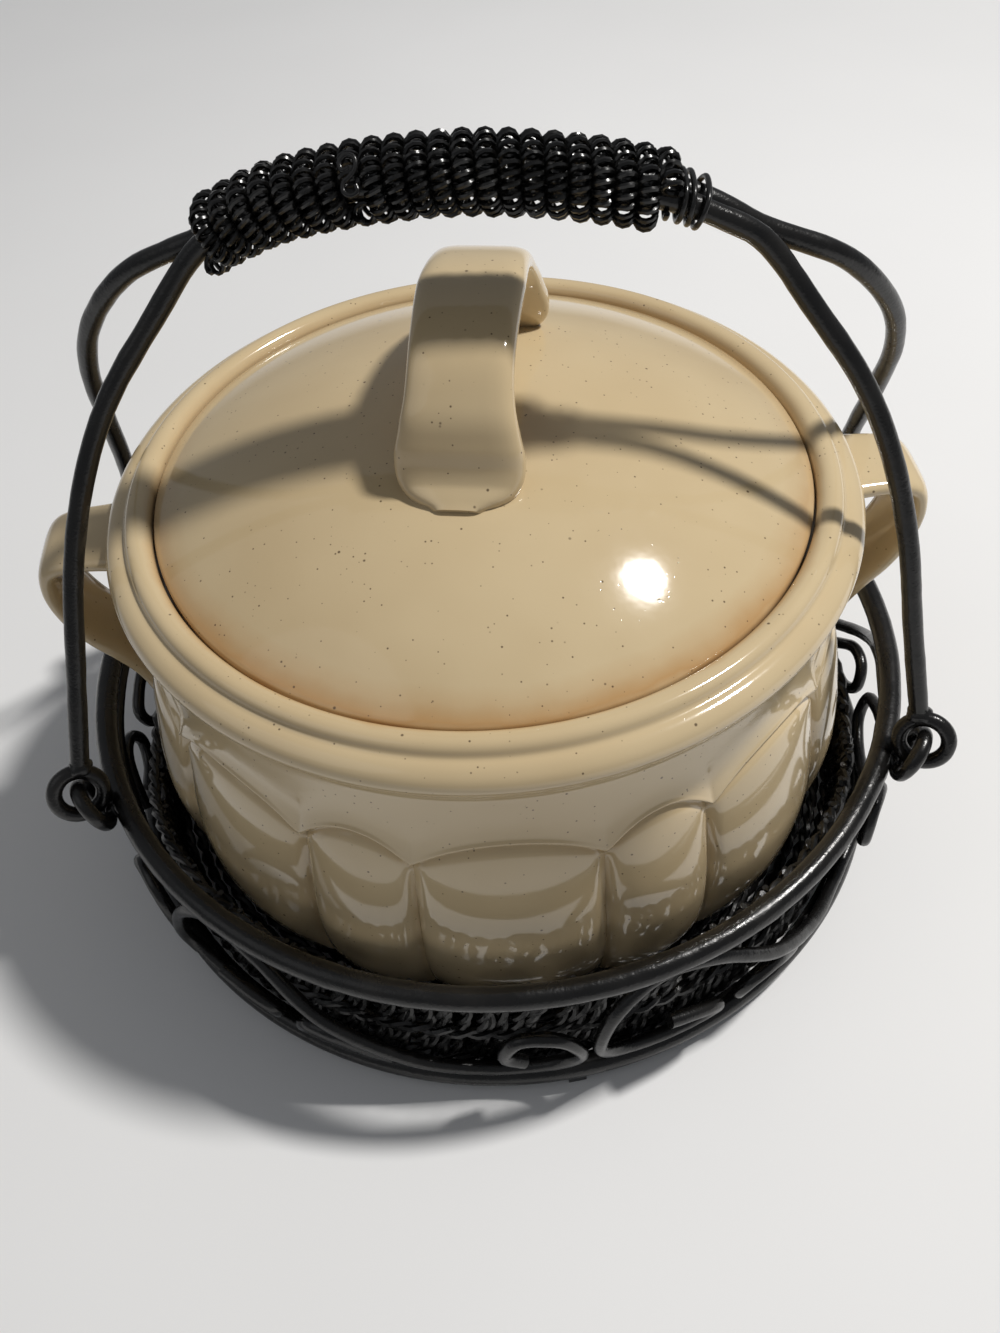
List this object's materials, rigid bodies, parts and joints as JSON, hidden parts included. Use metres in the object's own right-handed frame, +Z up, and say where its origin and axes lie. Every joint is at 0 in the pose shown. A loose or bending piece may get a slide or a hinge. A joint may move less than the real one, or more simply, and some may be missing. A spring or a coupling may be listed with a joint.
{
  "type": "bean pot",
  "caption": "Lidded round stoneware bean pot with a lobed belly and strap ears, standing in a wire scroll carrier with a woven liner and an arched bail with a wire-wound grip.",
  "frame": {"origin": "centre of the underside, on the surface that the carrier's bars stand on", "axes": "+Z up, +X to the right along the grip, front towards -Y"},
  "size_m": [0.2546, 0.2506, 0.2128],
  "materials": {
    "glaze": "glossy buttery cream glaze with fine brown specks",
    "iron": "satin black paint over uneven rod",
    "weave": "glossy black twisted strands"
  },
  "bodies": {
    "carrier": {"top_ring": "iron", "base_ring": "iron", "basket_liner": "weave", "floor_bar_long": "iron", "floor_bar_right": "iron", "floor_bar_left": "iron", "large_scroll_1": "iron", "large_scroll_2": "iron", "large_scroll_3": "iron", "large_scroll_4": "iron", "large_scroll_5": "iron", "large_scroll_6": "iron", "small_scroll_1": "iron", "small_scroll_2": "iron", "small_scroll_3": "iron", "small_scroll_4": "iron", "small_scroll_5": "iron", "small_scroll_6": "iron", "rack_eye_front_left": "iron", "rack_eye_front_right": "iron", "rack_eye_back_left": "iron", "rack_eye_back_right": "iron"},
    "handle": {"bail_ring_front_left": "iron", "bail_ring_front_right": "iron", "bail_ring_back_left": "iron", "bail_ring_back_right": "iron", "bail_rod_front": "iron", "bail_rod_back": "iron", "grip_coil_left": "iron", "grip_coil_right": "iron", "grip_tail_wrap": "iron"},
    "pot": {"pot_body": "glaze", "pot_ear_left": "glaze", "pot_ear_right": "glaze"},
    "lid": {"lid_dome": "glaze", "lid_strap": "glaze"}
  },
  "joints": [
    {"name": "handle_play", "type": "slide", "parent": "carrier", "child": "handle", "axis": [0, 0, 1], "range_m": [0, 0.0033]},
    {"name": "pot_lift", "type": "slide", "parent": "carrier", "child": "pot", "axis": [0, 0, 1], "range_m": [0, 0.008]},
    {"name": "lid_lift", "type": "slide", "parent": "pot", "child": "lid", "axis": [0, 0, 1], "range_m": [0, 0.01]}
  ]
}
